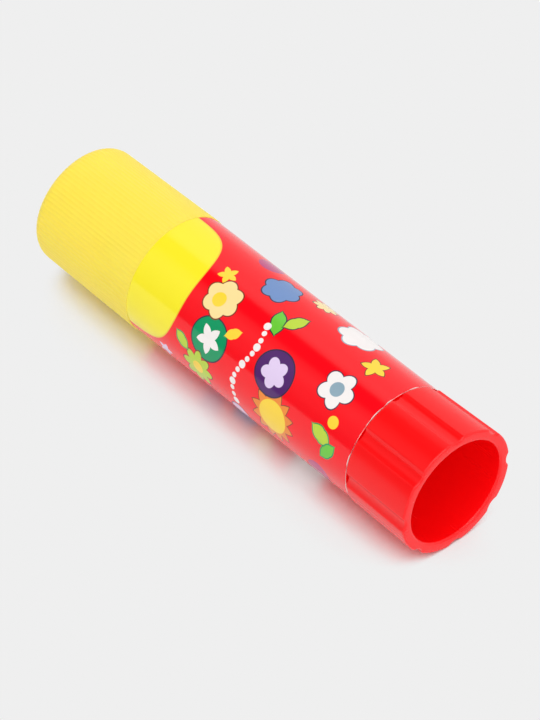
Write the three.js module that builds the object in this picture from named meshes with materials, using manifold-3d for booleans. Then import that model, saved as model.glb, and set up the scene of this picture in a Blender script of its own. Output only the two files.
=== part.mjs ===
// A small twist-up glue stick lying on its side, in millimetres.
// The stick's axis runs along X: the cap's closed end is at -X and the knob's rim at +X.
// The floor is at Z = 0 and the middle of the stick's length is at X = 0.
// Build order: revolved shells first, then the cuts and ribs that make them a working set.
import * as THREE from 'three';
import { mergeVertices } from 'three/addons/utils/BufferGeometryUtils.js';
import Module from 'manifold-3d';

// Lengths along the axis
const capLength = 23.05;
const bodyLength = 50.1;
const knobLength = 13.25;
const seam = 0.15; // where the cap and the knob meet the barrel

// Cap
const capWall = 0.62; // at the open edge, under the ribs
const capDraft = THREE.MathUtils.degToRad(0.8);
const capEndWall = 1.2;
const capEndFillet = 1.9;
const capRibCount = 90;
const capRibHeight = 0.1;
const capEdgeChamfer = 0.2;
const capSeatStep = 0.55; // step inside the cap that stops on the barrel's mouth

// Barrel and label
const barrelRadius = 10.28;
const neckStep = 0.81; // the neck is this much thinner all round, to take the cap's wall
const neckWall = 0.85;
const neckLength = 7.6;
const neckBeadHeight = 0.22;
const neckBeadWidth = 1.4;
const barrelChamfer = 0.25;
const guideRibCount = 4;
const guideRibHeight = 0.35;
const guideRibWidth = 1.1;
const labelThickness = 0.12;
const labelSlack = 0.04; // between the film and the barrel
const labelMargin = 0.12; // bare barrel left at both ends of the film

// Knob
const knobOverhang = 0.16; // the knob's shoulder stands this far over the label
const knobDraft = THREE.MathUtils.degToRad(1.34);
const knobRimWall = 1.85;
const knobBoreDraft = THREE.MathUtils.degToRad(0.8);
const knobBoreDepth = 12.1;
const knobBoreFillet = 1.2;
const knobBoreChamfer = 0.4;
const knobEdgeRound = 0.3;
const fluteCount = 8;
const fluteDepth = 0.52;
const fluteCutterRadius = 2.3;
const snapSkirtLength = 4.25; // the ring that turns inside the barrel
const snapSkirtWall = 1.15;
const snapBeadHeight = 0.4;
const snapBeadWidth = 1.3;
const snapBeadSetback = 1.9; // from the knob's shoulder to the middle of the bead
const hubWall = 1.35; // round the spindle's foot

// Spindle: a single-start screw, left-handed, so turning clockwise seen from the knob lifts the glue
const threadLead = 5.0;
const threadCore = 2.1;
const threadCrest = 2.9;
const threadCrestWidth = 0.9;
const threadRootWidth = 1.9;
const spindleTipTaper = 0.8;
const collarRadius = 3.6;
const collarThickness = 0.7;
const footAcrossFlats = 4.8;
const footSides = 6;
const tipReserve = 2.5; // thread left past the nut when the glue is fully out

// Carrier and glue
const cupDepth = 4.2;
const cupWall = 0.8;
const cupFloor = 1.2;
const carrierSkirtLength = 7.8;
const nutWall = 1.35;
const glueRecess = 0.6; // top of the glue below the barrel's mouth when wound down
const glueTopRound = 0.5;

// Clearances
const runningGap = 0.15; // between plastic pieces that slide or turn on each other
const threadGap = 0.22; // on every flank of the thread
const castGap = 0.1; // shrinkage round the cast glue
const seatGap = 0.1; // under a foot or collar that rests on its seat

// Facets on full circles
const outerFacets = 64;
const innerFacets = 48;
const threadFacets = 20;

// Radii that follow from the barrel
const neckRadius = barrelRadius - neckStep;
const boreRadius = neckRadius - neckWall;
const capBoreRadius = neckRadius + neckBeadHeight + runningGap;
const capEdgeRadius = capBoreRadius + capWall + capRibHeight; // over the ribs
const labelRadius = barrelRadius + labelSlack + labelThickness;
const knobTopRadius = labelRadius + knobOverhang;
const knobRimRadius = knobTopRadius + knobLength * Math.tan(knobDraft);
const knobBoreRadius = knobRimRadius - knobRimWall; // at the rim

// Places along X, worked out from the lengths
const overallLength = capLength + seam + bodyLength + seam + knobLength;
const capEndX = -overallLength / 2;
const capEdgeX = capEndX + capLength;
const shoulderX = capEdgeX + seam;
const barrelEndX = shoulderX + bodyLength;
const knobTopX = barrelEndX + seam;
const rimX = knobTopX + knobLength;
const mouthX = shoulderX - neckLength;
const knobFloorX = rimX - knobBoreDepth;
const skirtTopX = knobTopX - snapSkirtLength;
const collarX = skirtTopX - seatGap - collarThickness;
const carrierFootX = collarX - threadGap;
const cupFloorX = carrierFootX - carrierSkirtLength - cupFloor;
const glueTopX = mouthX + glueRecess;
const glueFootX = cupFloorX - castGap;
const fullLift = cupFloorX - cupDepth - mouthX; // travel that brings the cup to the mouth
const spindleTipX = carrierFootX - fullLift - tipReserve;

const wasm = await Module();
wasm.setup();

// A closed geometry as a solid: shared corners are merged and slivers at the poles dropped.
function solid(geometry) {
  const bare = geometry.clone();
  bare.deleteAttribute('normal');
  bare.deleteAttribute('uv');
  const merged = mergeVertices(bare, 1e-5);
  const points = merged.attributes.position;
  const corners = [];
  let volume = 0;
  const [a, b, c] = [new THREE.Vector3(), new THREE.Vector3(), new THREE.Vector3()];
  for (let i = 0; i < merged.index.count; i += 3) {
    const [ia, ib, ic] = [0, 1, 2].map((k) => merged.index.getX(i + k));
    if (ia === ib || ib === ic || ic === ia) continue;
    corners.push([ia, ib, ic]);
    a.fromBufferAttribute(points, ia);
    b.fromBufferAttribute(points, ib);
    c.fromBufferAttribute(points, ic);
    volume += a.dot(b.cross(c));
  }
  const facingOut = volume > 0 ? corners : corners.map(([ia, ib, ic]) => [ia, ic, ib]);
  return new wasm.Manifold(new wasm.Mesh({
    numProp: 3,
    vertProperties: new Float32Array(points.array),
    triVerts: new Uint32Array(facingOut.flat()),
  }));
}

// A solid as a mesh with its own material.
function part(name, shape, { color, roughness, metalness = 0 }) {
  const { numProp, vertProperties, triVerts } = shape.getMesh();
  const positions = new Float32Array((vertProperties.length / numProp) * 3);
  for (let i = 0; i < positions.length / 3; i += 1) {
    positions.set(vertProperties.subarray(i * numProp, i * numProp + 3), i * 3);
  }
  const geometry = new THREE.BufferGeometry();
  geometry.setAttribute('position', new THREE.BufferAttribute(positions, 3));
  geometry.setIndex(new THREE.BufferAttribute(new Uint32Array(triVerts), 1));
  geometry.computeVertexNormals();
  const material = new THREE.MeshStandardMaterial({ color, roughness, metalness });
  const mesh = new THREE.Mesh(geometry, material);
  mesh.name = name;
  return mesh;
}

// A profile of [x, radius] points turned round the X axis. It starts and ends on the axis,
// or comes back to its first point.
function revolve(profile, facets) {
  const outline = profile.map(([x, radius]) => new THREE.Vector2(radius, x));
  const turned = new THREE.LatheGeometry(outline, facets);
  turned.rotateZ(-Math.PI / 2);
  return solid(turned);
}

// The same profile with both ends joined, for a shell that stays clear of the axis.
function revolveRing(profile, facets) {
  return revolve([...profile, profile[0]], facets);
}

// Points of a quarter round between two directions, as [x, radius].
function round(centreX, centreRadius, radius, fromDegrees, toDegrees, steps) {
  return Array.from({ length: steps + 1 }, (_, i) => {
    const angle = THREE.MathUtils.degToRad(fromDegrees + ((toDegrees - fromDegrees) * i) / steps);
    return [centreX + radius * Math.cos(angle), centreRadius + radius * Math.sin(angle)];
  });
}

// A prism along X over an outline of [across, up] points in the YZ plane.
function prismAlongX(outline, fromX, toX) {
  const shape = new THREE.Shape(outline.map(([across, up]) => new THREE.Vector2(across, up)));
  const prism = new THREE.ExtrudeGeometry(shape, { depth: toX - fromX, bevelEnabled: false });
  prism.applyMatrix4(new THREE.Matrix4().makeBasis(
    new THREE.Vector3(0, 1, 0),
    new THREE.Vector3(0, 0, 1),
    new THREE.Vector3(1, 0, 0),
  ));
  prism.translate(fromX, 0, 0);
  return solid(prism);
}

// Copies of a solid spread evenly round the X axis, joined into one tool.
function ringOf(count, shape) {
  let all = shape;
  for (let i = 1; i < count; i += 1) {
    all = all.add(shape.rotate([(360 * i) / count, 0, 0]));
  }
  return all;
}

// A straight bar along X between two radii, centred on +Z: a rib, or the tool for a slot.
function bar(width, innerRadius, outerRadius, fromX, toX) {
  const half = width / 2;
  return prismAlongX([
    [-half, innerRadius], [half, innerRadius], [half, outerRadius], [-half, outerRadius],
  ], fromX, toX);
}

// A left-handed screw, grown on every flank by a clearance where it is the tool for a nut.
// The surface is one strip per turn, and a strip's late edge is the next turn's early edge.
// Both ends close on the axis, past the stretch that is kept.
function screw(fromX, toX, growth = 0) {
  const core = threadCore + growth;
  const crest = threadCrest + growth;
  const halfRoot = threadRootWidth / 2 + growth;
  const halfCrest = threadCrestWidth / 2 + growth;
  const strip = [
    [-halfRoot, core], [-halfCrest, crest], [halfCrest, crest], [halfRoot, core],
    [threadLead - halfRoot, core],
  ];
  const last = strip.length - 1;
  const firstTurn = Math.floor(fromX / threadLead) - 2;
  const steps = (Math.ceil(toX / threadLead) + 2 - firstTurn) * threadFacets;
  const corner = (step, j) => (j === last && step + threadFacets <= steps
    ? (step + threadFacets) * strip.length
    : step * strip.length + j);

  const points = [];
  const faces = [];
  for (let step = 0; step <= steps; step += 1) {
    const angle = (-2 * Math.PI * step) / threadFacets;
    const alongX = (firstTurn + step / threadFacets) * threadLead;
    for (const [offset, radius] of strip) {
      points.push(alongX + offset, radius * Math.cos(angle), radius * Math.sin(angle));
    }
    for (let j = 0; j < last && step < steps; j += 1) {
      faces.push(corner(step, j), corner(step + 1, j), corner(step, j + 1));
      faces.push(corner(step, j + 1), corner(step + 1, j), corner(step + 1, j + 1));
    }
  }

  const turn = Array.from({ length: threadFacets }, (_, i) => i);
  const across = strip.map((_, j) => j);
  const earlyRim = [...across.map((j) => corner(0, j)), ...turn.map((i) => corner(threadFacets - 1 - i, 0))];
  const lateRim = [...across.map((j) => corner(steps, j)), ...turn.map((i) => corner(steps - 1 - i, last))];
  const early = points.length / 3;
  points.push(firstTurn * threadLead - threadLead, 0, 0);
  points.push(firstTurn * threadLead + (steps / threadFacets + 1) * threadLead, 0, 0);
  for (let k = 0; k < earlyRim.length - 1; k += 1) {
    faces.push(early, earlyRim[k], earlyRim[k + 1]);
    faces.push(early + 1, lateRim[k + 1], lateRim[k]);
  }
  const geometry = new THREE.BufferGeometry();
  geometry.setAttribute('position', new THREE.BufferAttribute(new Float32Array(points), 3));
  geometry.setIndex(faces);
  return solid(geometry);
}

// The cap's outside: rings of [x, radius over the ribs, rib height], with a rib every second point.
function ribbedBody(rings) {
  const around = capRibCount * 2;
  const points = [];
  const faces = [];
  rings.forEach(([x, radius, height], ring) => {
    for (let i = 0; i < around; i += 1) {
      const angle = (2 * Math.PI * i) / around;
      const reach = i % 2 === 0 ? radius : radius - height;
      points.push(x, reach * Math.sin(angle), reach * Math.cos(angle));
      const [a, b] = [ring * around + i, ring * around + ((i + 1) % around)];
      if (ring < rings.length - 1) faces.push(a, b, a + around, b, b + around, a + around);
    }
  });
  const centre = points.length / 3;
  points.push(rings[0][0], 0, 0, rings[rings.length - 1][0], 0, 0);
  for (let i = 0; i < around; i += 1) {
    const next = (i + 1) % around;
    const lastRing = (rings.length - 1) * around;
    faces.push(centre, next, i, centre + 1, lastRing + i, lastRing + next);
  }
  const geometry = new THREE.BufferGeometry();
  geometry.setAttribute('position', new THREE.BufferAttribute(new Float32Array(points), 3));
  geometry.setIndex(faces);
  return solid(geometry);
}

// Cap: a drafted, ribbed thimble. Inside, a step stops on the barrel's mouth.
const capRadiusAt = (x) => capEdgeRadius - (capEdgeX - x) * Math.tan(capDraft);
const headspaceRadius = capBoreRadius - capSeatStep;

function makeCap() {
  const endRadius = capRadiusAt(capEndX + capEndFillet);
  const rounding = round(capEndX + capEndFillet, endRadius - capEndFillet, capEndFillet, 180, 90, 4);
  const outside = ribbedBody([
    ...rounding.map(([x, radius], i) => [x, radius, capRibHeight * Math.min(1, i / 2)]),
    [capEdgeX - capEdgeChamfer, capRadiusAt(capEdgeX - capEdgeChamfer), capRibHeight],
    [capEdgeX, capEdgeRadius - capEdgeChamfer, capRibHeight / 2],
  ]);
  const seatX = mouthX - seatGap;
  const innerEndX = capEndX + capEndWall;
  const innerRadius = headspaceRadius - (seatX - innerEndX) * Math.tan(capDraft);
  const innerRound = capEndFillet - capEndWall / 2;
  const inside = revolve([
    [capEdgeX + 1, 0],
    [capEdgeX + 1, capBoreRadius + capEdgeChamfer],
    [capEdgeX, capBoreRadius + capEdgeChamfer],
    [capEdgeX - capEdgeChamfer, capBoreRadius],
    [seatX, capBoreRadius],
    [seatX, headspaceRadius],
    ...round(innerEndX + innerRound, innerRadius - innerRound, innerRound, 90, 180, 3),
    [innerEndX, 0],
  ], outerFacets);
  return outside.subtract(inside);
}

// Barrel: a tube with a thinner neck for the cap, a groove for the knob and guide ribs in its bore.
const beadX = mouthX + neckLength / 2;
const snapX = knobTopX - snapBeadSetback;
const snapSkirtRadius = boreRadius - runningGap;
const grooveRadius = snapSkirtRadius + snapBeadHeight + runningGap;

function makeBarrel() {
  const grooveHalf = snapBeadWidth / 2 + runningGap;
  const grooveSlope = grooveRadius - boreRadius;
  const tube = revolveRing([
    [mouthX, boreRadius + barrelChamfer],
    [mouthX, neckRadius - barrelChamfer],
    [mouthX + barrelChamfer, neckRadius],
    [beadX - neckBeadWidth / 2, neckRadius],
    [beadX - neckBeadWidth / 6, neckRadius + neckBeadHeight],
    [beadX + neckBeadWidth / 6, neckRadius + neckBeadHeight],
    [beadX + neckBeadWidth / 2, neckRadius],
    [shoulderX, neckRadius],
    [shoulderX, barrelRadius - barrelChamfer],
    [shoulderX + barrelChamfer, barrelRadius],
    [barrelEndX - barrelChamfer, barrelRadius],
    [barrelEndX, barrelRadius - barrelChamfer],
    [barrelEndX, boreRadius + barrelChamfer],
    [barrelEndX - barrelChamfer, boreRadius],
    [snapX + grooveHalf, boreRadius],
    [snapX + grooveHalf - grooveSlope / 2, grooveRadius],
    [snapX - grooveHalf + grooveSlope / 2, grooveRadius],
    [snapX - grooveHalf, boreRadius],
    [mouthX + barrelChamfer, boreRadius],
  ], outerFacets);
  const rib = bar(
    guideRibWidth,
    boreRadius - guideRibHeight,
    (boreRadius + neckRadius) / 2,
    mouthX + barrelChamfer + runningGap,
    skirtTopX - runningGap,
  );
  return tube.add(ringOf(guideRibCount, rib));
}

// Label: the printed film, a closed sleeve a hair off the barrel.
function makeLabel() {
  const inner = barrelRadius + labelSlack;
  const [fromX, toX] = [shoulderX + labelMargin, barrelEndX - labelMargin];
  return revolveRing(
    [[fromX, inner], [fromX, labelRadius], [toX, labelRadius], [toX, inner]],
    outerFacets,
  );
}

// Knob: a fluted cup on its side, with a ring that snaps into the barrel and a socket for the spindle.
const footRadius = footAcrossFlats / 2 / Math.cos(Math.PI / footSides);
const hubRadius = footRadius + seatGap + hubWall;
const knobRadiusAt = (x) => knobRimRadius - (rimX - x) * Math.tan(knobDraft);

function footOutline(radius) {
  return Array.from({ length: footSides }, (_, i) => {
    const angle = (2 * Math.PI * i) / footSides;
    return [radius * Math.cos(angle), radius * Math.sin(angle)];
  });
}

function makeKnob() {
  const floorRadius = knobBoreRadius - knobBoreDepth * Math.tan(knobBoreDraft);
  const bead = snapSkirtRadius + snapBeadHeight;
  const beadHalf = snapBeadWidth / 2;
  const skirtInner = snapSkirtRadius - snapSkirtWall;
  const turned = revolve([
    [knobFloorX, 0],
    ...round(knobFloorX + knobBoreFillet, floorRadius - knobBoreFillet, knobBoreFillet, 180, 90, 3),
    [rimX - knobBoreChamfer, knobBoreRadius],
    [rimX, knobBoreRadius + knobBoreChamfer],
    ...round(rimX - knobEdgeRound, knobRimRadius - knobEdgeRound, knobEdgeRound, 0, 90, 2),
    ...round(knobTopX + knobEdgeRound, knobTopRadius - knobEdgeRound, knobEdgeRound, 90, 180, 2),
    [knobTopX, snapSkirtRadius],
    [snapX + beadHalf, snapSkirtRadius],
    [snapX + beadHalf - snapBeadHeight / 2, bead],
    [snapX - beadHalf + snapBeadHeight, bead],
    [snapX - beadHalf, snapSkirtRadius],
    [skirtTopX, snapSkirtRadius],
    [skirtTopX, skirtInner],
    [knobTopX, skirtInner],
    [knobTopX, hubRadius],
    [skirtTopX, hubRadius],
    [skirtTopX, 0],
  ], outerFacets);

  const middleX = (knobTopX + rimX) / 2;
  const cutter = new THREE.CylinderGeometry(fluteCutterRadius, fluteCutterRadius, knobLength * 1.5, 24);
  cutter.rotateZ(-Math.PI / 2);
  cutter.rotateY(-knobDraft);
  cutter.translate(middleX, 0, knobRadiusAt(middleX) - fluteDepth + fluteCutterRadius);
  const socket = prismAlongX(footOutline(footRadius + seatGap), skirtTopX - 1, knobTopX);
  return turned.subtract(ringOf(fluteCount, solid(cutter))).subtract(socket);
}

// Spindle: the screw, a collar that rests on the knob's hub and a six-sided foot in its socket.
function makeSpindle() {
  const envelope = revolve([
    [spindleTipX, 0],
    [spindleTipX, threadCrest - spindleTipTaper],
    [spindleTipX + spindleTipTaper, threadCrest + threadGap],
    [collarX + collarThickness / 2, threadCrest + threadGap],
    [collarX + collarThickness / 2, 0],
  ], innerFacets);
  const collar = revolve([
    [collarX, 0], [collarX, collarRadius],
    [collarX + collarThickness, collarRadius], [collarX + collarThickness, 0],
  ], innerFacets);
  const foot = prismAlongX(footOutline(footRadius), collarX + collarThickness / 2, knobTopX - seatGap);
  return screw(spindleTipX, collarX).intersect(envelope).add(collar).add(foot);
}

// Carrier: cup, floor and guiding skirt round a nut, notched for the barrel's guide ribs.
const carrierRadius = boreRadius - runningGap;
const cupRadius = carrierRadius - cupWall;
const cupRimX = cupFloorX - cupDepth;
const notchWidth = guideRibWidth + 2 * runningGap;
const notchRadius = boreRadius - guideRibHeight - runningGap;

function makeCarrier() {
  const nutRadius = threadCrest + threadGap + nutWall;
  const turned = revolve([
    [cupFloorX, 0],
    [cupFloorX, cupRadius],
    [cupRimX, cupRadius],
    [cupRimX, carrierRadius],
    [carrierFootX, carrierRadius],
    [carrierFootX, cupRadius],
    [cupFloorX + cupFloor, cupRadius],
    [cupFloorX + cupFloor, nutRadius],
    [carrierFootX, nutRadius],
    [carrierFootX, 0],
  ], innerFacets);
  const notch = bar(notchWidth, notchRadius, boreRadius + 1, cupRimX - 1, carrierFootX + 1);
  return turned
    .subtract(ringOf(guideRibCount, notch))
    .subtract(screw(cupFloorX, carrierFootX, threadGap));
}

// Glue: cast round the spindle, so it has a blind hole, and grooved by the guide ribs.
function makeGlue() {
  const glueRadius = carrierRadius - castGap;
  const footRadiusInCup = cupRadius - castGap;
  const holeRadius = threadCrest + threadGap;
  const turned = revolve([
    [glueTopX, 0],
    ...round(glueTopX + glueTopRound, glueRadius - glueTopRound, glueTopRound, 180, 90, 2),
    [cupRimX - castGap, glueRadius],
    [cupRimX - castGap, footRadiusInCup],
    [glueFootX, footRadiusInCup],
    [glueFootX, holeRadius],
    [spindleTipX - runningGap, holeRadius],
    [spindleTipX - runningGap - holeRadius / 2, 0],
  ], innerFacets);
  const groove = bar(notchWidth, notchRadius, boreRadius + 1, glueTopX - 1, cupRimX);
  return turned.subtract(ringOf(guideRibCount, groove));
}

const stick = new THREE.Group();
stick.add(
  part('cap', makeCap(), { color: '#f7dc3c', roughness: 0.5 }),
  part('barrel', makeBarrel(), { color: '#e2201f', roughness: 0.35 }),
  part('label', makeLabel(), { color: '#ee1c25', roughness: 0.28 }),
  part('knob', makeKnob(), { color: '#e81c20', roughness: 0.22 }),
  part('spindle', makeSpindle(), { color: '#efece4', roughness: 0.4 }),
  part('carrier', makeCarrier(), { color: '#efece4', roughness: 0.4 }),
  part('glue', makeGlue(), { color: '#f3efe2', roughness: 0.35 }),
);

// It lies on the floor on whatever reaches lowest: the shoulders of the knob's bottom flute.
stick.position.z = -new THREE.Box3().setFromObject(stick, true).min.z;

export default stick;
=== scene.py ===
import math

import bmesh
import bpy
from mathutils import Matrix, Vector


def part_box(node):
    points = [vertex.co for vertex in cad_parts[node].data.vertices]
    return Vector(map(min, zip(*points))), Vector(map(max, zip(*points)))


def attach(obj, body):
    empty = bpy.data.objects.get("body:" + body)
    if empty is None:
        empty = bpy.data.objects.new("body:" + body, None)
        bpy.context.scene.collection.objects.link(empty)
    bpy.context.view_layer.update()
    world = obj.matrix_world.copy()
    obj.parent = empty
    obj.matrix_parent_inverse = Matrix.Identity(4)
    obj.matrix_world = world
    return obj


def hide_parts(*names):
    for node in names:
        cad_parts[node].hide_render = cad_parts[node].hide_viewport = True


# A small twist-up glue stick lying on its side: ribbed cap, printed film on a red barrel,
# fluted knob, and inside them the screw, the carrier and the glue.
# Pieces are built in millimetres round the stick's own axis (X), then brought to metres and to
# their place on the floor.
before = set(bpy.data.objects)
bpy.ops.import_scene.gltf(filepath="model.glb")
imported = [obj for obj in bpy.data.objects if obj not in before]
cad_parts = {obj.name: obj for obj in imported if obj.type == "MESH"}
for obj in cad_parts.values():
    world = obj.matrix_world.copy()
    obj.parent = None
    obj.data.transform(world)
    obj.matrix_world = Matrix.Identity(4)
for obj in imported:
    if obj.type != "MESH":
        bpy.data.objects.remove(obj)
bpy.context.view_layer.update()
mm = 0.001


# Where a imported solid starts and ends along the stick, and how far it reaches from the axis
def reachOf(node):
    low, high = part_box(node)
    return low.x / mm, high.x / mm, (high.z - low.z) / 2 / mm


capEnd, capEdge, capRadius = reachOf("cap")
mouth, barrelEnd, barrelRadius = reachOf("barrel")
labelStart, _, labelRadius = reachOf("label")
skirtTop, rim, _ = reachOf("knob")
glueTop, glueFoot, glueRadius = reachOf("glue")
spindleTip, _, _ = reachOf("spindle")
labelLow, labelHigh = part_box("label")

# The cap seats on the barrel's shoulder, and the knob turns a hair off its end
joints = {"capGap": 0.02, "knobGap": 0.08, "skirtLength": 4.25}
shellStart = capEdge + joints["capGap"]
knobShoulder = skirtTop + joints["skirtLength"]
shellEnd = knobShoulder - joints["knobGap"]
axisHeight = (labelLow.z + labelHigh.z) / 2
print("frame loaded, axis at", round(axisHeight / mm, 3), "mm")


# Mesh helpers: how many equal sectors make one turn, how near two points count as one,
# and the leeway with which points are picked by their place
sectors = 24
weld = 0.0005
leeway = 0.01


# Corners of (along, radius, rounding) joined by edges and turned round the stick's axis.
# The extra rings keep smooth shading flat up to each rounding, and long faces short.
def turnOutline(outline, steps, rings=(), closed=False, roundSegments=5):
    bm = bmesh.new()
    corners = [bm.verts.new((along, 0, radius)) for along, radius, rounding in outline]
    for first, second in zip(corners, corners[1:]):
        bm.edges.new((first, second))
    if closed:
        bm.edges.new((corners[-1], corners[0]))
    for corner, (along, radius, rounding) in zip(corners, outline):
        if rounding:
            bmesh.ops.bevel(
                bm, geom=[corner], offset=rounding, offset_type="OFFSET", segments=roundSegments,
                profile=0.5, affect="VERTICES", material=-1,
            )
    for along in rings:
        bmesh.ops.bisect_plane(
            bm, geom=bm.verts[:] + bm.edges[:], dist=weld,
            plane_co=(along, 0, 0), plane_no=(1, 0, 0),
        )
    # One sector is spun, then repeated round the axis, which is far quicker than one full spin
    sector = math.tau / sectors
    bmesh.ops.spin(
        bm, geom=bm.verts[:] + bm.edges[:], cent=(0, 0, 0), axis=(1, 0, 0),
        angle=sector, steps=steps // sectors,
    )
    bmesh.ops.spin(
        bm, geom=bm.verts[:] + bm.edges[:] + bm.faces[:], cent=(0, 0, 0), axis=(1, 0, 0),
        angle=math.tau - sector, steps=sectors - 1, use_duplicate=True,
    )
    bmesh.ops.remove_doubles(bm, verts=bm.verts[:], dist=weld)
    bmesh.ops.recalc_face_normals(bm, faces=bm.faces[:])
    return bm


def ringsBetween(start, end, count):
    return [start + (end - start) * i / (count + 1) for i in range(1, count + 1)]


# The angle round the stick, from the top towards -Y, in radians
def angleOf(point):
    return math.atan2(-point.y, point.z)


def radiusOf(point):
    return math.hypot(point.y, point.z)


def setRadius(vert, radius):
    stretch = radius / radiusOf(vert.co)
    vert.co.y *= stretch
    vert.co.z *= stretch


# The angle to the nearest of some evenly spread places round the stick
def nearestOf(angle, count):
    spacing = math.tau / count
    return (angle + spacing / 2) % spacing - spacing / 2


def clamp(value):
    return min(1, max(0, value))


def smoothMin(first, second, blend):
    overlap = max(blend - abs(first - second), 0) / blend
    return min(first, second) - overlap * overlap * blend / 4


# From the stick's own axis in millimetres to its place on the floor in metres
def finishPiece(bm, name, node, body, materials, sharpAbove=32):
    bmesh.ops.scale(bm, vec=(mm, mm, mm), verts=bm.verts[:])
    bmesh.ops.translate(bm, vec=(0, 0, axisHeight), verts=bm.verts[:])
    mesh = bpy.data.meshes.new(name)
    bm.to_mesh(mesh)
    bm.free()
    for material in materials:
        mesh.materials.append(material)
    mesh.shade_smooth()
    mesh.set_sharp_from_angle(angle=math.radians(sharpAbove))
    piece = bpy.data.objects.new(name, mesh)
    bpy.context.scene.collection.objects.link(piece)
    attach(piece, body)
    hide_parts(node)
    print("piece", name, len(mesh.polygons), "faces")


# Material helpers

def toLinear(hexColour):
    parts = [int(hexColour[i:i + 2], 16) / 255 for i in (1, 3, 5)]
    return [p / 12.92 if p <= 0.04045 else ((p + 0.055) / 1.055) ** 2.4 for p in parts] + [1]


# A node with its settings, and for each input either a link or a value
def addNode(tree, kind, settings, inputs):
    node = tree.nodes.new(kind)
    for name, value in settings.items():
        setattr(node, name, value)
    for name, value in inputs.items():
        if isinstance(value, bpy.types.NodeSocket):
            tree.links.new(value, node.inputs[name])
        else:
            node.inputs[name].default_value = value
    return node


# One Math node's result
def calculate(tree, operation, *values):
    return addNode(tree, "ShaderNodeMath", {"operation": operation}, dict(enumerate(values))).outputs[0]


# A value carried from one range over to another, and held inside it
def remap(tree, value, start, end, low=0, high=1, interpolation="LINEAR"):
    return addNode(tree, "ShaderNodeMapRange", {"interpolation_type": interpolation}, {
        "Value": value, "From Min": start, "From Max": end, "To Min": low, "To Max": high,
    }).outputs["Result"]


# Two numbers ("FLOAT") or colours ("RGBA") mixed, by the share of the second one
def mix(tree, kind, share, first, second):
    return addNode(tree, "ShaderNodeMix", {"data_type": kind}, {
        "Factor": share, "A": first, "B": second,
    }).outputs["Result"]


# Soft noise with patches of about this size in millimetres
def addNoise(tree, place, size, detail=2):
    return addNode(tree, "ShaderNodeTexNoise", {}, {
        "Vector": place, "Scale": 1 / size, "Detail": detail,
    }).outputs["Fac"]


# A material with its Principled shader, and the piece's own coordinates in millimetres
def startMaterial(name, finish):
    material = bpy.data.materials.new(name)
    material.use_nodes = True
    tree = material.node_tree
    tree.nodes.clear()
    shader = addNode(tree, "ShaderNodeBsdfPrincipled", {}, {
        "Base Color": toLinear(finish["colour"]),
        "Roughness": finish["roughness"],
        "IOR": finish["ior"],
    })
    addNode(tree, "ShaderNodeOutputMaterial", {}, {"Surface": shader.outputs["BSDF"]})
    place = addNode(tree, "ShaderNodeTexCoord", {}, {})
    inMillimetres = addNode(tree, "ShaderNodeVectorMath", {"operation": "SCALE"}, {
        "Vector": place.outputs["Object"], "Scale": 1 / mm,
    })
    return material, tree, shader, inMillimetres.outputs["Vector"]


# The colour wanders between the finish's two
def varyColour(tree, shader, noise, finish):
    tint = mix(tree, "RGBA", noise, toLinear(finish["colour"]), toLinear(finish["deepColour"]))
    tree.links.new(tint, shader.inputs["Base Color"])


# The roughness wanders on both sides of the finish's own
def varyRoughness(tree, shader, noise, finish):
    smoothest = finish["roughness"] - finish["roughnessSpread"]
    roughest = finish["roughness"] + finish["roughnessSpread"]
    tree.links.new(remap(tree, noise, 0, 1, smoothest, roughest), shader.inputs["Roughness"])


# Light sinks in and comes out again, red, green and blue as far off as the reach in millimetres
def addGlow(shader, weight, reach):
    shader.inputs["Subsurface Weight"].default_value = weight
    shader.inputs["Subsurface Radius"].default_value = [length * mm for length in reach]
    shader.inputs["Subsurface Scale"].default_value = 1


# A relief too fine for the mesh, with its depth in millimetres
def addRelief(tree, shader, height, depth, strength):
    bump = addNode(tree, "ShaderNodeBump", {}, {
        "Height": height, "Strength": strength, "Distance": depth * mm,
    })
    tree.links.new(bump.outputs["Normal"], shader.inputs["Normal"])


# Injection-moulded polypropylene off a fine spark-eroded tool: satin, with a soft broad sheen
capFinish = {
    "colour": "#ffe453", "deepColour": "#ffe045", "roughness": 0.46, "ior": 1.49,
    "grain": 0.35, "grainDepth": 0.003, "grainStrength": 0.6, "cloud": 9.0,
    "glow": 0.3, "glowReach": (1.2, 0.9, 0.3),
}


def makeCapMaterial():
    material, tree, shader, place = startMaterial("satin moulded polypropylene, yellow", capFinish)
    varyColour(tree, shader, addNoise(tree, place, capFinish["cloud"]), capFinish)
    addGlow(shader, capFinish["glow"], capFinish["glowReach"])
    grain = addNoise(tree, place, capFinish["grain"], detail=3)
    addRelief(tree, shader, grain, capFinish["grainDepth"], capFinish["grainStrength"])
    return material


# Injection-moulded polypropylene off a polished tool: glossy, with faint lengthwise flow marks
redFinish = {
    "colour": "#f9050a", "roughness": 0.26, "roughnessSpread": 0.04, "ior": 1.43,
    "flowAcross": 1.6, "flowStretch": 0.08, "flowDepth": 0.0015, "flowStrength": 0.5,
}


def makeRedMaterial():
    material, tree, shader, place = startMaterial("polished moulded polypropylene, red", redFinish)
    stretched = addNode(tree, "ShaderNodeMapping", {}, {
        "Vector": place, "Scale": (redFinish["flowStretch"], 1, 1),
    })
    flow = addNoise(tree, stretched.outputs["Vector"], redFinish["flowAcross"])
    varyRoughness(tree, shader, flow, redFinish)
    addRelief(tree, shader, flow, redFinish["flowDepth"], redFinish["flowStrength"])
    return material


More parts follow.
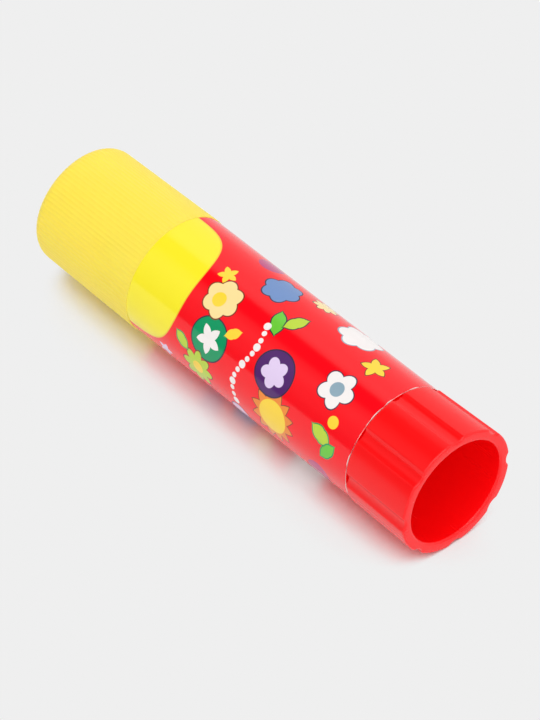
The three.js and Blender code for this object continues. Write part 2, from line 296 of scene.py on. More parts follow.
# The printed film: a red ground with a half-oval yellow panel at the cap, and a scatter of
# plain motifs. It is glossy and lies on the barrel in slight waves that bend its reflections.
filmFinish = {
    "colour": "#fa0416", "roughness": 0.13, "ior": 1.5,
    "edge": 0.05, "line": 0.22, "wave": 14.0, "waveDepth": 0.05, "waveStrength": 0.5,
}
panel = {
    "centre": 41.5, "halfAngle": 65.5, "depth": 10.3, "power": 2.7,
    "colour": "#f9ea2a", "line": "#f0d432",
}

# Kinds of outline: how many lobes or points it has, how deep the valleys between them cut,
# whether they are pointed (1) or round (0), and how quickly the outline falls away from their
# tips (under 1 is quicker, which makes a slim leaf)
motifKinds = {
    "disc": {"lobes": 1, "depth": 0, "pointed": 0, "bend": 1},
    "flower": {"lobes": 5, "depth": 0.32, "pointed": 0, "bend": 1},
    "daisy": {"lobes": 8, "depth": 0.36, "pointed": 0, "bend": 1},
    "cloud": {"lobes": 6, "depth": 0.2, "pointed": 0, "bend": 1},
    "star": {"lobes": 5, "depth": 0.52, "pointed": 1, "bend": 1},
    "sun": {"lobes": 12, "depth": 0.3, "pointed": 1, "bend": 1},
    "leaf": {"lobes": 2, "depth": 0.58, "pointed": 1, "bend": 0.4},
}
inks = {
    "green": "#00965f", "leaf": "#6cc93c", "lime": "#bbd63a", "purple": "#50236a",
    "lilac": "#e3cff0", "magenta": "#bd2c74", "sun": "#fdd73c", "orange": "#f08a2c",
    "cream": "#fbdf9b", "brown": "#7a2a1c", "blue": "#6f8fc4", "steel": "#8fa9b8",
    "white": "#f4eeec", "ink": "#2b2740",
}

# Each motif: its outline, degrees from the top towards -Y, millimetres from the cap's end of the
# film, radius, turn in degrees, ink and the ink of its outline. A later one covers those before.
# Each comes round twice, so the far side shows the same print.
motifs = [
    ("disc", 62, 17.6, 3.5, 0, "green", "ink"),
    ("star", 62, 17.6, 2.5, 12, "white", None),
    ("cloud", 27, 15.8, 3.3, 15, "cream", "brown"),
    ("disc", 29, 15.4, 1.2, 0, "sun", None),
    ("daisy", 96, 16.4, 3.2, 0, "lime", "brown"),
    ("disc", 96, 16.4, 1.1, 0, "sun", None),
    ("leaf", 79, 12.6, 1.9, 35, "lime", "green"),
    ("leaf", 45, 21.2, 1.8, -40, "sun", None),
    ("star", 7, 13.2, 1.7, 0, "sun", None),
    ("sun", 86, 33.5, 4.6, 8, "orange", "brown"),
    ("disc", 86, 33.5, 2.9, 0, "sun", None),
    ("disc", 50, 31.2, 3.6, 0, "purple", "ink"),
    ("flower", 50, 31.2, 2.5, 20, "lilac", None),
    ("leaf", 14, 26.0, 2.5, 60, "leaf", "ink"),
    ("leaf", 4, 28.2, 2.3, 118, "lime", "ink"),
    ("disc", 112, 43.4, 2.3, 0, "magenta", None),
    ("flower", 28, 42.0, 3.2, 0, "white", "ink"),
    ("disc", 28, 42.0, 1.2, 0, "steel", None),
    ("leaf", 68, 43.6, 2.5, 20, "lime", "green"),
    ("leaf", 78, 45.6, 2.1, -52, "leaf", "green"),
    ("disc", 52, 44.8, 1.0, 0, "sun", None),
    ("cloud", -16, 21.0, 3.2, 0, "blue", "ink"),
    ("cloud", -32, 36.0, 3.7, 30, "white", "steel"),
    ("star", -10, 43.2, 2.3, 10, "sun", "brown"),
    ("disc", -38, 14.6, 2.2, 0, "magenta", None),
    ("daisy", -40, 26.8, 2.2, 0, "cream", "brown"),
    ("disc", 116, 25.2, 1.7, 0, "lilac", "purple"),
    ("star", 108, 8.4, 1.5, 0, "lilac", None),
]

# The white line along the film's edge at the knob, partly bare film and partly a painted highlight of
# the joint, and a row of small dots across the print
bareEdgeAndHighlight = {
    "length": 3.0, "narrow": -0.1, "wide": 0.15, "noiseLow": 0.44, "noiseHigh": 0.6, "edge": 0.02,
    "whiteness": 0.8,
}
dotRow = {
    "from": 22, "to": 100, "along": 25.2, "sway": 0.9, "count": 13, "small": 0.42, "large": 0.62,
}


# One printed motif as a node group, drawn over the print below it
def makeMotifGroup():
    group = bpy.data.node_groups.new("printed motif", "ShaderNodeTree")
    sockets = (
        ("Below", "NodeSocketColor"), ("Wrap", "NodeSocketVector"), ("Place", "NodeSocketVector"),
        ("Turn", "NodeSocketVector"), ("Size", "NodeSocketVector"), ("Lobes", "NodeSocketFloat"),
        ("Depth", "NodeSocketFloat"), ("Pointed", "NodeSocketFloat"), ("Bend", "NodeSocketFloat"),
        ("Softness", "NodeSocketFloat"), ("Line width", "NodeSocketFloat"),
        ("Ink", "NodeSocketColor"), ("Line ink", "NodeSocketColor"),
    )
    for name, kind in sockets:
        group.interface.new_socket(name, in_out="INPUT", socket_type=kind)
    group.interface.new_socket("Print", in_out="OUTPUT", socket_type="NodeSocketColor")
    given = group.nodes.new("NodeGroupInput").outputs

    # The motif comes round twice, so a quarter turn on either side of its place is its own ground
    quarterTurn = math.pi * labelRadius / 2
    here = addNode(group, "ShaderNodeSeparateXYZ", {}, {"Vector": given["Wrap"]}).outputs
    home = addNode(group, "ShaderNodeSeparateXYZ", {}, {"Vector": given["Place"]}).outputs
    last = calculate(group, "ADD", home["Y"], quarterTurn)
    first = calculate(group, "SUBTRACT", home["Y"], quarterTurn)
    around = calculate(group, "WRAP", here["Y"], last, first)
    ground = addNode(group, "ShaderNodeCombineXYZ", {}, {"X": here["X"], "Y": around})
    local = addNode(group, "ShaderNodeMapping", {"vector_type": "TEXTURE"}, {
        "Vector": ground.outputs["Vector"],
        "Location": given["Place"],
        "Rotation": given["Turn"],
        "Scale": given["Size"],
    }).outputs["Vector"]
    parts = addNode(group, "ShaderNodeSeparateXYZ", {}, {"Vector": local}).outputs
    reach = addNode(group, "ShaderNodeVectorMath", {"operation": "LENGTH"}, {0: local}).outputs["Value"]
    angle = calculate(group, "ARCTAN2", parts["Y"], parts["X"])
    lobeAngle = calculate(group, "MULTIPLY", angle, given["Lobes"])
    # Round lobes: the valley is where the cosine of half the lobe angle is nought
    cosine = calculate(group, "COSINE", calculate(group, "DIVIDE", lobeAngle, 2))
    roundValley = calculate(group, "SUBTRACT", 1, calculate(group, "ABSOLUTE", cosine))
    # Points: the valley grows evenly from each tip
    sharpValley = calculate(group, "PINGPONG", calculate(group, "DIVIDE", lobeAngle, math.pi), 1)
    valley = mix(group, "FLOAT", given["Pointed"], roundValley, sharpValley)
    bent = calculate(group, "POWER", valley, given["Bend"])
    outline = calculate(group, "SUBTRACT", 1, calculate(group, "MULTIPLY", bent, given["Depth"]))
    outside = calculate(group, "SUBTRACT", reach, outline)
    beyondLine = calculate(group, "SUBTRACT", outside, given["Line width"])
    softAway = calculate(group, "MULTIPLY", given["Softness"], -1)
    inked = given["Below"]
    for distance, ink in ((beyondLine, given["Line ink"]), (outside, given["Ink"])):
        cover = remap(group, distance, given["Softness"], softAway)
        inked = mix(group, "RGBA", cover, inked, ink)
    addNode(group, "NodeGroupOutput", {}, {"Print": inked})
    return group


def makeFilmMaterial():
    material, tree, shader, place = startMaterial("glossy printed film", filmFinish)
    wrapMap = addNode(tree, "ShaderNodeUVMap", {"uv_map": "wrap"}, {}).outputs["UV"]
    flat = addNode(tree, "ShaderNodeSeparateXYZ", {}, {"Vector": wrapMap}).outputs
    perDegree = math.pi * labelRadius / 180

    # The panel is half of a squarish oval, standing on the film's edge under the cap
    panelAround = calculate(
        tree, "WRAP", flat["Y"],
        (panel["centre"] + 90) * perDegree, (panel["centre"] - 90) * perDegree,
    )
    panelGround = addNode(tree, "ShaderNodeCombineXYZ", {}, {"X": flat["X"], "Y": panelAround})
    panelPlace = addNode(tree, "ShaderNodeMapping", {"vector_type": "TEXTURE"}, {
        "Vector": panelGround.outputs["Vector"],
        "Location": (0, panel["centre"] * perDegree, 0),
        "Scale": (panel["depth"], panel["halfAngle"] * perDegree, 1),
    }).outputs["Vector"]
    folded = addNode(tree, "ShaderNodeVectorMath", {"operation": "ABSOLUTE"}, {0: panelPlace}).outputs
    sides = addNode(tree, "ShaderNodeSeparateXYZ", {}, {"Vector": folded["Vector"]}).outputs
    raised = [calculate(tree, "POWER", side, panel["power"]) for side in (sides["X"], sides["Y"])]
    oval = calculate(tree, "POWER", calculate(tree, "ADD", *raised), 1 / panel["power"])
    lineShare = filmFinish["line"] / panel["depth"]
    softShare = filmFinish["edge"] / panel["depth"]
    inked = toLinear(filmFinish["colour"])
    for reach, ink in ((1 + lineShare, panel["line"]), (1, panel["colour"])):
        cover = remap(tree, oval, reach + softShare, reach - softShare)
        inked = mix(tree, "RGBA", cover, inked, toLinear(ink))

    group = makeMotifGroup()
    dots = []
    for i in range(dotRow["count"]):
        share = i / (dotRow["count"] - 1)
        degrees = dotRow["from"] + (dotRow["to"] - dotRow["from"]) * share
        along = dotRow["along"] + dotRow["sway"] * math.sin(share * math.tau)
        size = dotRow["large"] if i % 3 == 0 else dotRow["small"]
        dots.append(("disc", degrees, along, size, 0, "white", None))
    for kind, degrees, along, size, turn, ink, lineInk in motifs + dots:
        shape = motifKinds[kind]
        inked = addNode(tree, "ShaderNodeGroup", {"node_tree": group}, {
            "Below": inked,
            "Wrap": wrapMap,
            "Place": (along, degrees * perDegree, 0),
            "Turn": (0, 0, math.radians(turn)),
            "Size": (size, size, size),
            "Lobes": shape["lobes"],
            "Depth": shape["depth"],
            "Pointed": shape["pointed"],
            "Bend": shape["bend"],
            "Softness": filmFinish["edge"] / size,
            "Line width": filmFinish["line"] / size if lineInk else 0,
            "Ink": toLinear(inks[ink]),
            "Line ink": toLinear(inks[lineInk or ink]),
        }).outputs["Print"]

    # The print stops a hair short of the edge at the knob, unevenly, and the white film shows; this
    # white strip is also a painted highlight standing in for light caught along the joint with the knob
    unevenness = addNoise(tree, wrapMap, bareEdgeAndHighlight["length"], detail=1)
    width = remap(
        tree, unevenness, bareEdgeAndHighlight["noiseLow"], bareEdgeAndHighlight["noiseHigh"],
        bareEdgeAndHighlight["narrow"], bareEdgeAndHighlight["wide"],
    )
    fromEdge = calculate(tree, "SUBTRACT", shellEnd - labelStart, flat["X"])
    past = calculate(tree, "SUBTRACT", width, fromEdge)
    whiteStrip = remap(tree, past, 0, bareEdgeAndHighlight["edge"], 0, bareEdgeAndHighlight["whiteness"])
    inked = mix(tree, "RGBA", whiteStrip, inked, toLinear(coreFinish["colour"]))
    tree.links.new(inked, shader.inputs["Base Color"])

    wave = addNoise(tree, place, filmFinish["wave"], detail=1)
    addRelief(tree, shader, wave, filmFinish["waveDepth"], filmFinish["waveStrength"])
    return material


# The film's cut edge: bare white core with no ink on it
coreFinish = {
    "colour": "#f6f2ee", "roughness": 0.5, "ior": 1.5,
    "fibre": 0.3, "fibreDepth": 0.02, "fibreStrength": 0.3,
}


def makeCoreMaterial():
    material, tree, shader, place = startMaterial("white film core", coreFinish)
    fibre = addNoise(tree, place, coreFinish["fibre"])
    addRelief(tree, shader, fibre, coreFinish["fibreDepth"], coreFinish["fibreStrength"])
    return material


# Unpigmented polypropylene: milky, a little see-through at thin edges, satin
naturalFinish = {
    "colour": "#efece2", "roughness": 0.4, "roughnessSpread": 0.06, "ior": 1.49,
    "milk": 0.25, "milkReach": (1.2, 1.1, 0.9), "flow": 1.2,
}


def makeNaturalMaterial():
    material, tree, shader, place = startMaterial("natural moulded polypropylene", naturalFinish)
    addGlow(shader, naturalFinish["milk"], naturalFinish["milkReach"])
    varyRoughness(tree, shader, addNoise(tree, place, naturalFinish["flow"]), naturalFinish)
    return material


# Cast stick glue: off-white, waxy, with light sinking in and a faint drawn surface
glueFinish = {
    "colour": "#f4efe2", "deepColour": "#ece5d2", "roughness": 0.36, "ior": 1.46,
    "wax": 0.4, "waxReach": (1.5, 1.3, 1.0), "drag": 2.2, "dragDepth": 0.04, "dragStrength": 0.5,
}


def makeGlueMaterial():
    material, tree, shader, place = startMaterial("cast stick glue", glueFinish)
    addGlow(shader, glueFinish["wax"], glueFinish["waxReach"])
    drag = addNoise(tree, place, glueFinish["drag"], detail=4)
    varyColour(tree, shader, drag, glueFinish)
    addRelief(tree, shader, drag, glueFinish["dragDepth"], glueFinish["dragStrength"])
    return material


capMaterial = makeCapMaterial()
redMaterial = makeRedMaterial()
filmMaterial = makeFilmMaterial()
coreMaterial = makeCoreMaterial()
naturalMaterial = makeNaturalMaterial()
glueMaterial = makeGlueMaterial()
print("materials made")


# Cap: a ribbed, slightly tapered thimble with a rounded end, and a step inside where the
# barrel's mouth stops
cap = {
    "steps": 720, "rings": 8, "bandSetback": 0.1,
    "ribs": 90, "ribHeight": 0.065, "ribFade": (45, 75),
    "endFillet": 1.9, "edgeRound": 0.12, "draft": 0.8, "wall": 0.72, "endWall": 1.2,
    "seatStep": 0.55, "seatGap": 0.1, "seatRound": 0.08, "insideRound": 0.1,
    "gateRadius": 1.5, "gateSlope": 0.25, "gateSink": 0.15, "gateRound": 0.1,
    "nubRadius": 0.4, "nubHeight": 0.06, "nubSlope": 0.08, "nubRound": 0.05,
}


def makeCap():
    slope = math.tan(math.radians(cap["draft"]))
    endRadius = capRadius - (capEdge - capEnd) * slope
    bore = capRadius - cap["wall"]
    headspace = bore - cap["seatStep"]
    seat = mouth - cap["seatGap"]
    innerEnd = capEnd + cap["endWall"]
    innerRadius = headspace - (seat - innerEnd) * slope
    gate = capEnd + cap["gateSink"]
    sideStart = capEnd + cap["endFillet"]
    bandEnds = [sideStart + cap["bandSetback"], capEdge - cap["edgeRound"] - cap["bandSetback"]]
    bm = turnOutline([
        (gate - cap["nubHeight"], 0, 0),
        (gate - cap["nubHeight"], cap["nubRadius"], cap["nubRound"]),
        (gate, cap["nubRadius"] + cap["nubSlope"], cap["nubRound"]),
        (gate, cap["gateRadius"], cap["gateRound"]),
        (capEnd, cap["gateRadius"] + cap["gateSlope"], cap["gateRound"]),
        (capEnd, endRadius, cap["endFillet"]),
        (capEdge, capRadius, cap["edgeRound"]),
        (capEdge, bore, cap["edgeRound"] / 2),
        (seat, bore, cap["seatRound"]),
        (seat, headspace, cap["insideRound"]),
        (innerEnd, innerRadius, cap["endFillet"] - cap["endWall"] / 2),
        (innerEnd, 0, 0),
    ], cap["steps"], bandEnds + ringsBetween(sideStart, capEdge, cap["rings"]), roundSegments=8)

    # Ribs: even waves round the cap, fading out over the end's rounding
    dropFrom, dropTo = (
        cap["endFillet"] * (1 - math.cos(math.radians(degrees))) for degrees in cap["ribFade"]
    )
    for vert in bm.verts:
        radius = radiusOf(vert.co)
        surface = capRadius - (capEdge - vert.co.x) * slope
        onSide = vert.co.x > sideStart and radius > surface - cap["wall"] / 2
        onRounding = vert.co.x <= sideStart and (
            radius > innerRadius + cap["wall"] / 2 or vert.co.x < innerEnd - leeway
        )
        if radius > surface - dropTo and (onSide or onRounding):
            fade = clamp((dropTo - surface + radius) / (dropTo - dropFrom))
            fade *= clamp((capEdge - vert.co.x) / cap["edgeRound"])
            wave = (1 - math.cos(angleOf(vert.co) * cap["ribs"])) / 2
            setRadius(vert, radius - cap["ribHeight"] * fade * wave)
    finishPiece(bm, "ribbed_cap", "cap", "cap", [capMaterial], sharpAbove=50)


# Barrel: a tube with a thinner neck, a bead on it that grips the cap, a groove for the knob's
# ring and four guide ribs in the bore
barrel = {
    "steps": 576, "rings": 12, "neckStep": 0.81, "neckWall": 0.85,
    "beadHeight": 0.22, "beadWidth": 1.4, "beadRound": 0.2, "beadRoot": 0.3,
    "edgeRound": 0.25, "shoulderRound": 0.04, "shoulderRoot": 0.1,
    "groove": 0.4, "grooveWidth": 1.6, "grooveSetback": 1.75, "grooveRound": 0.08,
    "guideRibs": 4, "ribHeight": 0.35, "ribWidth": 1.1, "ribFlank": 0.12,
    "ribSetback": 0.15, "ribRamp": 0.2,
}


def makeBarrel():
    neck = barrelRadius - barrel["neckStep"]
    bore = neck - barrel["neckWall"]
    bead = (mouth + shellStart) / 2
    beadHalf = barrel["beadWidth"] / 2
    groove = barrelEnd - barrel["grooveSetback"]
    grooveHalf = barrel["grooveWidth"] / 2
    grooveRadius = bore + barrel["groove"]
    edge = barrel["edgeRound"]
    ribStart = mouth + edge + barrel["ribSetback"]
    ribEnd = skirtTop - barrel["ribSetback"]
    ramp = barrel["ribRamp"]
    rings = [ribStart, ribStart + ramp, ribEnd - ramp, ribEnd]
    rings += ringsBetween(ribStart, ribEnd, barrel["rings"])
    bm = turnOutline([
        (mouth, bore, edge),
        (mouth, neck, edge),
        (bead - beadHalf, neck, barrel["beadRoot"]),
        (bead - beadHalf / 3, neck + barrel["beadHeight"], barrel["beadRound"]),
        (bead + beadHalf / 3, neck + barrel["beadHeight"], barrel["beadRound"]),
        (bead + beadHalf, neck, barrel["beadRoot"]),
        (shellStart, neck, barrel["shoulderRoot"]),
        (shellStart, barrelRadius, barrel["shoulderRound"]),
        (shellEnd, barrelRadius, barrel["shoulderRound"]),
        (shellEnd, bore, edge),
        (groove + grooveHalf, bore, barrel["grooveRound"]),
        (groove + grooveHalf - barrel["groove"] / 2, grooveRadius, barrel["grooveRound"]),
        (groove - grooveHalf + barrel["groove"] / 2, grooveRadius, barrel["grooveRound"]),
        (groove - grooveHalf, bore, barrel["grooveRound"]),
    ], barrel["steps"], rings, closed=True, roundSegments=3)
    for vert in bm.verts:
        if radiusOf(vert.co) < bore + leeway and ribStart - leeway < vert.co.x < ribEnd + leeway:
            arc = abs(nearestOf(angleOf(vert.co), barrel["guideRibs"])) * bore
            rise = clamp(((barrel["ribWidth"] + barrel["ribFlank"]) / 2 - arc) / barrel["ribFlank"])
            rise *= clamp((vert.co.x - ribStart) / ramp) * clamp((ribEnd - vert.co.x) / ramp)
            setRadius(vert, bore - barrel["ribHeight"] * rise)
    finishPiece(bm, "red_barrel", "barrel", "barrel", [redMaterial])


# Label: one sheet of film rolled round the barrel, its ends a hair apart at the back
label = {"film": 0.1, "seam": 215, "seamGap": 0.2, "stepsRound": 540, "stepsAlong": 32}


def makeLabel():
    innerRadius = labelRadius - label["film"]
    sheetWidth = math.tau * innerRadius - label["seamGap"]
    firstAround = math.radians(label["seam"] - 360) * innerRadius
    bm = bmesh.new()
    bmesh.ops.create_grid(
        bm, x_segments=label["stepsAlong"], y_segments=label["stepsRound"], size=0.5,
    )
    bmesh.ops.scale(bm, vec=(shellEnd - shellStart, sheetWidth, 1), verts=bm.verts[:])
    bmesh.ops.translate(
        bm, vec=((shellStart + shellEnd) / 2, firstAround + sheetWidth / 2, 0), verts=bm.verts[:],
    )
    bmesh.ops.solidify(bm, geom=bm.faces[:], thickness=label["film"])
    bm.normal_update()
    lowest = min(vert.co.z for vert in bm.verts)
    wrap = bm.loops.layers.uv.new("wrap")
    for face in bm.faces:
        if abs(face.normal.z) < 0.5:
            face.material_index = 1  # the cut edge
        for loop in face.loops:
            loop[wrap].uv = (loop.vert.co.x - labelStart, loop.vert.co.y * labelRadius / innerRadius)
    for vert in bm.verts:
        along, around, height = vert.co
        radius = innerRadius + height - lowest
        angle = around / innerRadius
        vert.co = (along, -radius * math.sin(angle), radius * math.cos(angle))
    # Rolling the sheet turned it inside out
    bm.normal_update()
    bmesh.ops.recalc_face_normals(bm, faces=bm.faces[:])
    finishPiece(bm, "printed_film", "label", "barrel", [filmMaterial, coreMaterial])


# Knob: a fluted cup, with a ring that turns inside the barrel and a six-sided socket for the
# spindle
knob = {
    "steps": 480, "rings": 7, "bandSetback": 0.42,
    "overhang": 0.16, "draft": 1.34, "rimWall": 1.85, "edgeRound": 0.3,
    "boreDepth": 12.1, "boreDraft": 0.8, "boreFillet": 1.2, "boreRound": 0.45,
    "flutes": 8, "fluteDepth": 0.52, "fluteCutter": 2.3, "fluteBlend": 0.12,
    "skirtGap": 0.15, "skirtWall": 1.15, "skirtRound": 0.12, "skirtRoot": 0.2,
    "beadHeight": 0.4, "beadWidth": 1.3, "beadSetback": 1.9, "beadRound": 0.1, "beadRoot": 0.05,
    "socketRadius": 2.87, "socketSides": 6, "socketRound": 0.08, "hubRadius": 4.22,
    "gateRadius": 1.5, "gateSlope": 0.2, "gateSink": 0.15, "gateRound": 0.1,
    "nubRadius": 0.45, "nubHeight": 0.1, "nubSlope": 0.1, "nubRound": 0.06,
}


def makeKnob():
    topRadius = labelRadius + knob["overhang"]
    slope = math.tan(math.radians(knob["draft"]))
    rimRadius = topRadius + (rim - knobShoulder) * slope
    boreRadius = rimRadius - knob["rimWall"]
    floor = rim - knob["boreDepth"]
    floorRadius = boreRadius - knob["boreDepth"] * math.tan(math.radians(knob["boreDraft"]))
    skirt = barrelRadius - barrel["neckStep"] - barrel["neckWall"] - knob["skirtGap"]
    bead = knobShoulder - knob["beadSetback"]
    beadHalf = knob["beadWidth"] / 2
    beadRadius = skirt + knob["beadHeight"]
    gate = floor - knob["gateSink"]
    bandEnds = [knobShoulder + knob["bandSetback"], rim - knob["bandSetback"]]
    bm = turnOutline([
        (gate + knob["nubHeight"], 0, 0),
        (gate + knob["nubHeight"], knob["nubRadius"], knob["nubRound"]),
        (gate, knob["nubRadius"] + knob["nubSlope"], knob["nubRound"]),
        (gate, knob["gateRadius"], knob["gateRound"]),
        (floor, knob["gateRadius"] + knob["gateSlope"], knob["gateRound"]),
        (floor, floorRadius, knob["boreFillet"]),
        (rim, boreRadius, knob["boreRound"]),
        (rim, rimRadius, knob["edgeRound"]),
        (knobShoulder, topRadius, knob["edgeRound"]),
        (knobShoulder, skirt, knob["beadRound"]),
        (bead + beadHalf, skirt, knob["beadRoot"]),
        (bead + beadHalf - knob["beadHeight"] / 2, beadRadius, knob["beadRound"]),
        (bead - beadHalf + knob["beadHeight"], beadRadius, knob["beadRound"]),
        (bead - beadHalf, skirt, knob["beadRoot"]),
        (skirtTop, skirt, knob["skirtRound"]),
        (skirtTop, skirt - knob["skirtWall"], knob["skirtRound"]),
        (knobShoulder, skirt - knob["skirtWall"], knob["skirtRoot"]),
        (knobShoulder, knob["hubRadius"], knob["skirtRoot"]),
        (skirtTop, knob["hubRadius"], knob["skirtRound"]),
        (skirtTop, knob["socketRadius"], knob["socketRound"]),
        (knobShoulder, knob["socketRadius"], 0),
        (knobShoulder, 0, 0),
    ], knob["steps"], bandEnds + ringsBetween(*bandEnds, knob["rings"]))

    for vert in bm.verts:
        radius = radiusOf(vert.co)
        angle = angleOf(vert.co)
        surface = topRadius + (vert.co.x - knobShoulder) * slope
        if vert.co.x > knobShoulder - leeway and radius > surface - knob["edgeRound"] - leeway:
            # Flutes: a round cutter along the knob, with the edges softened as moulded
            centre = surface - knob["fluteDepth"] + knob["fluteCutter"]
            aside = nearestOf(angle, knob["flutes"])
            reach = knob["fluteCutter"] ** 2 - (centre * math.sin(aside)) ** 2
            if reach > 0:
                cut = centre * math.cos(aside) - math.sqrt(reach)
                setRadius(vert, radius - surface + smoothMin(surface, cut, knob["fluteBlend"]))
        elif abs(radius - knob["socketRadius"]) < knob["socketRound"] + leeway:
            # Six flats inside the circle that the socket was turned with
            halfSide = math.pi / knob["socketSides"]
            toFlat = nearestOf(angle + math.pi / 2 + halfSide, knob["socketSides"])
            setRadius(vert, radius * math.cos(halfSide) / math.cos(toFlat))
    finishPiece(bm, "fluted_knob", "knob", "knob", [redMaterial])


# Glue: a cast stick with a low domed top, grooved by the barrel's guide ribs and hollow round
# the spindle
glue = {
    "steps": 480, "rings": 14, "dome": 0.3, "domeRound": 1.5, "topRound": 0.7, "topBand": 1.3,
    "cupDepth": 4.2, "cupWall": 0.8, "edgeRound": 0.1, "footRound": 0.2,
    "holeRadius": 3.12, "holeGap": 0.15, "grooveWidth": 1.4, "grooveDepth": 0.35, "grooveFlank": 0.12,
}


def makeGlue():
    cupRim = glueFoot - glue["cupDepth"]
    footRadius = glueRadius - glue["cupWall"]
    holeTop = spindleTip - glue["holeGap"]
    sideStart = glueTop + glue["topBand"]
    rings = [sideStart] + ringsBetween(sideStart, cupRim, glue["rings"])
    bm = turnOutline([
        (glueTop, 0, 0),
        (glueTop + glue["dome"] / 4, glueRadius / 2, glue["domeRound"]),
        (glueTop + glue["dome"], glueRadius, glue["topRound"]),
        (cupRim, glueRadius, glue["edgeRound"]),
        (cupRim, footRadius, glue["edgeRound"]),
        (glueFoot, footRadius, glue["footRound"]),
        (glueFoot, glue["holeRadius"], glue["edgeRound"]),
        (holeTop, glue["holeRadius"], glue["edgeRound"]),
        (holeTop - glue["holeRadius"] / 2, 0, 0),
    ], glue["steps"], rings)
    for vert in bm.verts:
        radius = radiusOf(vert.co)
        if vert.co.x < cupRim + leeway and radius > footRadius:
            arc = abs(nearestOf(angleOf(vert.co), barrel["guideRibs"])) * glueRadius
            sink = clamp(((glue["grooveWidth"] + glue["grooveFlank"]) / 2 - arc) / glue["grooveFlank"])
            setRadius(vert, min(radius, glueRadius - glue["grooveDepth"] * sink))
    finishPiece(bm, "cast_glue", "glue", "carrier", [glueMaterial])


makeCap()
makeBarrel()
makeLabel()
makeKnob()
makeGlue()

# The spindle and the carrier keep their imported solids
for node in ("spindle", "carrier"):
    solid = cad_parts[node]
    solid.data.materials.clear()
    solid.data.materials.append(naturalMaterial)


# Studio: a pale floor in a soft white room, which is open and plain on the side of the knob's
# rim. Elsewhere its brightness goes by the angle across the stick, in degrees from overhead and
# minus towards the back: bright at the back, dark overhead and dimmer in front.
# Four broad lamps help it, and the last of them isn't mirrored in glossy surfaces.
studio = {
    "floorSize": 4.0, "floorColour": "#f8f8f8", "satin": 0.6, "satinRoughness": 0.42,
    "paper": "#efefef",
    "shadowReach": 60, "shadowSamples": 8, "shadowInner": 0.31, "shadowOuter": 0.575,
    "openFrom": -0.3, "openTo": 0.1, "openNear": 1.2, "openFar": 0.82, "openLean": 0.08,
    "acrossStops": (
        (-90, 0.74), (-36, 0.78), (-22, 0.88), (-14, 0.7), (-6, 0.05),
        (13, 0.05), (24, 0.34), (36, 0.5), (60, 0.33), (88, 0.15),
    ),
    "key": {"direction": (0.1, -0.25, 0.95), "strength": 0.76, "angle": 50, "mirrored": True},
    "edgeLight": {"direction": (0.82, 0, 0.57), "strength": 0.22, "angle": 24, "mirrored": True},
    "fill": {"direction": (0.35, -0.9, 0.18), "strength": 0.14, "angle": 50, "mirrored": True},
    "endFill": {"direction": (-0.98, 0.1, 0.15), "strength": 0.72, "angle": 40, "mirrored": False},
}


def makeFloor():
    bm = bmesh.new()
    bmesh.ops.create_grid(bm, x_segments=1, y_segments=1, size=studio["floorSize"] / 2)
    mesh = bpy.data.meshes.new("floor")
    bm.to_mesh(mesh)
    bm.free()
    material = bpy.data.materials.new("satin pale board")
    material.use_nodes = True
    tree = material.node_tree
    tree.nodes.clear()
    matt = addNode(tree, "ShaderNodeBsdfDiffuse", {}, {"Color": toLinear(studio["floorColour"])})
    satin = addNode(tree, "ShaderNodeBsdfGlossy", {}, {
        "Color": toLinear(studio["floorColour"]), "Roughness": studio["satinRoughness"],
    })
    shaded = addNode(tree, "ShaderNodeMixShader", {}, {
        0: studio["satin"], 1: matt.outputs["BSDF"], 2: satin.outputs["BSDF"],
    }).outputs["Shader"]
    paper = addNode(tree, "ShaderNodeEmission", {}, {"Color": toLinear(studio["paper"])})

    # Where nothing stands near, plain paper is seen; close to the stick the shaded floor, with
    # the shadow and the soft reflections
    openness = addNode(tree, "ShaderNodeAmbientOcclusion", {"samples": studio["shadowSamples"]}, {
        "Distance": studio["shadowReach"] * mm,
    }).outputs["AO"]
    clear = remap(
        tree, openness, studio["shadowInner"], studio["shadowOuter"], interpolation="SMOOTHSTEP",
    )
    path = addNode(tree, "ShaderNodeLightPath", {}, {}).outputs
    seen = calculate(tree, "MAXIMUM", path["Is Camera Ray"], path["Is Glossy Ray"])
    seen = calculate(tree, "MAXIMUM", seen, path["Is Transmission Ray"])
    share = calculate(tree, "MULTIPLY", clear, seen)
    surface = addNode(tree, "ShaderNodeMixShader", {}, {
        0: share, 1: shaded, 2: paper.outputs["Emission"],
    }).outputs["Shader"]
    addNode(tree, "ShaderNodeOutputMaterial", {}, {"Surface": surface})
    mesh.materials.append(material)
    floor = bpy.data.objects.new("floor", mesh)
    bpy.context.scene.collection.objects.link(floor)


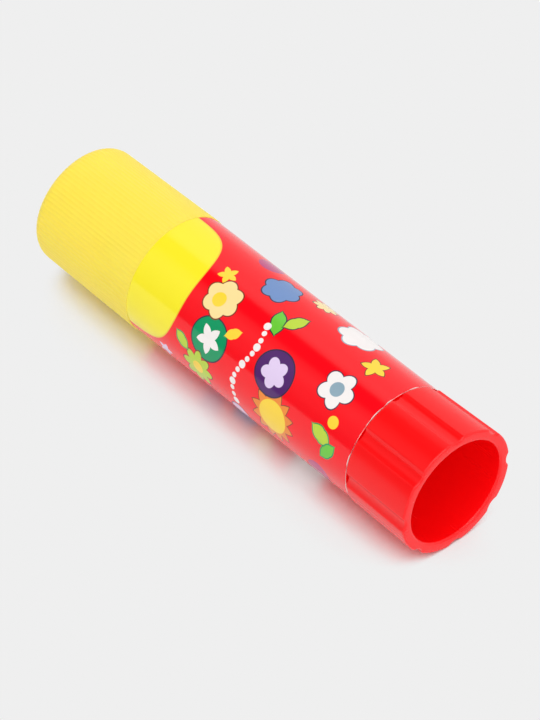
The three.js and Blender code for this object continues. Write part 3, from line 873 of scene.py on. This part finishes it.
def makeRoom():
    world = bpy.data.worlds.new("white room")
    bpy.context.scene.world = world
    world.use_nodes = True
    tree = world.node_tree
    tree.nodes.clear()
    direction = addNode(tree, "ShaderNodeTexCoord", {}, {}).outputs["Generated"]
    parts = addNode(tree, "ShaderNodeSeparateXYZ", {}, {"Vector": direction}).outputs
    forward = calculate(tree, "MULTIPLY", parts["Y"], -1)
    tilt = calculate(tree, "ARCTAN2", forward, parts["Z"])
    turned = remap(tree, tilt, -math.pi, math.pi)
    across = addNode(tree, "ShaderNodeValToRGB", {}, {"Fac": turned})
    ramp = across.color_ramp
    ramp.interpolation = "EASE"
    for degrees, strength in studio["acrossStops"]:
        ramp.elements.new((degrees + 180) / 360).color = (strength, strength, strength, 1)
    # The two stops that a new ramp brings along are at its ends
    ramp.elements.remove(ramp.elements[-1])
    ramp.elements.remove(ramp.elements[0])
    openness = remap(
        tree, parts["X"], studio["openFrom"], studio["openTo"], interpolation="SMOOTHSTEP",
    )
    outward = remap(tree, parts["X"], 0, 1, studio["openNear"], studio["openFar"])
    leaning = calculate(tree, "MULTIPLY_ADD", forward, studio["openLean"], 1)
    openSide = calculate(tree, "MULTIPLY", outward, leaning)
    strength = mix(tree, "FLOAT", openness, across.outputs["Color"], openSide)
    background = addNode(tree, "ShaderNodeBackground", {}, {
        "Color": (1, 1, 1, 1), "Strength": strength,
    })
    addNode(tree, "ShaderNodeOutputWorld", {}, {"Surface": background.outputs["Background"]})


def makeLamp(name, lighting):
    lamp = bpy.data.lights.new(name, "SUN")
    lamp.energy = lighting["strength"]
    lamp.angle = math.radians(lighting["angle"])
    light = bpy.data.objects.new(name, lamp)
    light.rotation_mode = "QUATERNION"
    light.rotation_quaternion = Vector(lighting["direction"]).to_track_quat("Z", "Y")
    light.visible_glossy = lighting["mirrored"]
    bpy.context.scene.collection.objects.link(light)


# The photograph's viewing angle: from above, over the knob's end
view = {
    "azimuth": 48.27, "elevation": 44.11, "distance": 943, "lens": 314.2, "sensor": 36,
    "aim": (14.22, -11.51, 24.84),
}


def makeCamera():
    camera = bpy.data.objects.new("camera", bpy.data.cameras.new("camera"))
    camera.data.lens = view["lens"]
    camera.data.sensor_width = view["sensor"]
    azimuth = math.radians(view["azimuth"])
    elevation = math.radians(view["elevation"])
    back = Vector((
        math.sin(azimuth) * math.cos(elevation),
        -math.cos(azimuth) * math.cos(elevation),
        math.sin(elevation),
    ))
    camera.location = Vector(view["aim"]) * mm + back * view["distance"] * mm
    camera.rotation_mode = "QUATERNION"
    camera.rotation_quaternion = back.to_track_quat("Z", "Y")
    bpy.context.scene.collection.objects.link(camera)
    bpy.context.scene.camera = camera


makeFloor()
makeRoom()
makeLamp("broad soft key", studio["key"])
makeLamp("light on the rim's edges", studio["edgeLight"])
makeLamp("low soft fill", studio["fill"])
makeLamp("soft fill on the cap's end", studio["endFill"])
makeCamera()
bpy.context.scene.view_settings.view_transform = "Standard"
print("studio made")
